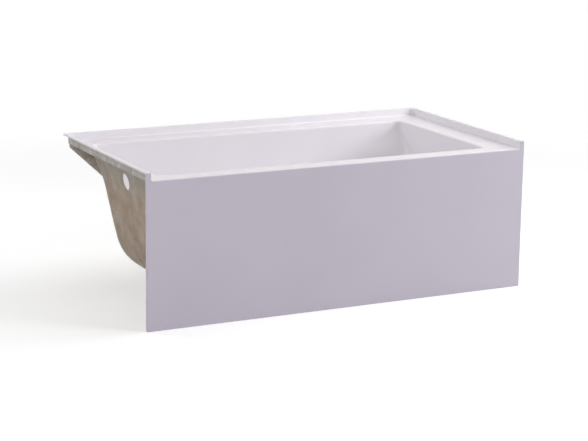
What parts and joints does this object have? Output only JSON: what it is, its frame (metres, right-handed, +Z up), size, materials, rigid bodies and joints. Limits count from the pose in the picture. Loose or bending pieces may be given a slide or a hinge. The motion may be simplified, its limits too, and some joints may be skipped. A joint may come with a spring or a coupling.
{
  "type": "alcove bathtub",
  "caption": "Alcove bathtub with a plain flat front apron, a tile flange on three sides, a rectangular basin with an end overflow, and a cradle on levelling feet.",
  "frame": {"origin": "middle of the tub's footprint, on the floor", "axes": "+X along the tub from the drain end to the head end, +Y from the apron to the back wall, +Z up"},
  "size_m": [1.524, 0.813, 0.559],
  "materials": {
    "acrylic": "polished white acrylic sheet",
    "fibreglass": "rough unpainted glass-fibre laminate",
    "timber": "planed softwood",
    "chipboard": "raw chipboard",
    "galvanised_steel": "galvanised",
    "zinc_steel": "zinc plated",
    "black_plastic": "moulded"
  },
  "bodies": {
    "tub": {"tub_shell": "acrylic", "shell_laminate": "fibreglass", "apron_panel": "acrylic", "apron_laminate": "fibreglass", "apron_top_batten": "timber", "apron_bottom_batten": "timber", "rim_batten_back": "timber", "rim_batten_right": "timber", "corner_gusset_left": "fibreglass", "corner_gusset_right": "fibreglass", "floor_board": "chipboard", "cradle_rail_left": "galvanised_steel", "cradle_rail_right": "galvanised_steel", "rail_end_caps": "black_plastic", "rail_brackets": "galvanised_steel", "board_screws": "zinc_steel", "bracket_screws": "zinc_steel", "weld_nuts": "zinc_steel", "lock_nuts": "zinc_steel"},
    "pad_front_left": {"foot_pad_front_left": "black_plastic"},
    "stem_front_left": {"foot_stem_front_left": "zinc_steel"},
    "pad_front_right": {"foot_pad_front_right": "black_plastic"},
    "stem_front_right": {"foot_stem_front_right": "zinc_steel"},
    "pad_back_left": {"foot_pad_back_left": "black_plastic"},
    "stem_back_left": {"foot_stem_back_left": "zinc_steel"},
    "pad_back_right": {"foot_pad_back_right": "black_plastic"},
    "stem_back_right": {"foot_stem_back_right": "zinc_steel"}
  },
  "joints": [
    {"name": "foot_front_left_height", "type": "slide", "parent": "tub", "child": "pad_front_left", "axis": [0, 0, -1], "range_m": [-0.004, 0.02]},
    {"name": "foot_front_left_turn", "type": "hinge", "parent": "pad_front_left", "child": "stem_front_left", "pos_m": [-0.312, -0.3015, 0], "axis": [0, 0, -1], "range_deg": [-830, 4120]},
    {"name": "foot_front_right_height", "type": "slide", "parent": "tub", "child": "pad_front_right", "axis": [0, 0, -1], "range_m": [-0.004, 0.02]},
    {"name": "foot_front_right_turn", "type": "hinge", "parent": "pad_front_right", "child": "stem_front_right", "pos_m": [0.342, -0.3015, 0], "axis": [0, 0, -1], "range_deg": [-830, 4120]},
    {"name": "foot_back_left_height", "type": "slide", "parent": "tub", "child": "pad_back_left", "axis": [0, 0, -1], "range_m": [-0.004, 0.02]},
    {"name": "foot_back_left_turn", "type": "hinge", "parent": "pad_back_left", "child": "stem_back_left", "pos_m": [-0.312, 0.2715, 0], "axis": [0, 0, -1], "range_deg": [-830, 4120]},
    {"name": "foot_back_right_height", "type": "slide", "parent": "tub", "child": "pad_back_right", "axis": [0, 0, -1], "range_m": [-0.004, 0.02]},
    {"name": "foot_back_right_turn", "type": "hinge", "parent": "pad_back_right", "child": "stem_back_right", "pos_m": [0.342, 0.2715, 0], "axis": [0, 0, -1], "range_deg": [-830, 4120]}
  ],
  "couplings": [
    {"joint": "foot_front_left_turn", "follows": "foot_front_left_height", "rad_per_m": 3590.4},
    {"joint": "foot_front_right_turn", "follows": "foot_front_right_height", "rad_per_m": 3590.4},
    {"joint": "foot_back_left_turn", "follows": "foot_back_left_height", "rad_per_m": 3590.4},
    {"joint": "foot_back_right_turn", "follows": "foot_back_right_height", "rad_per_m": 3590.4}
  ]
}
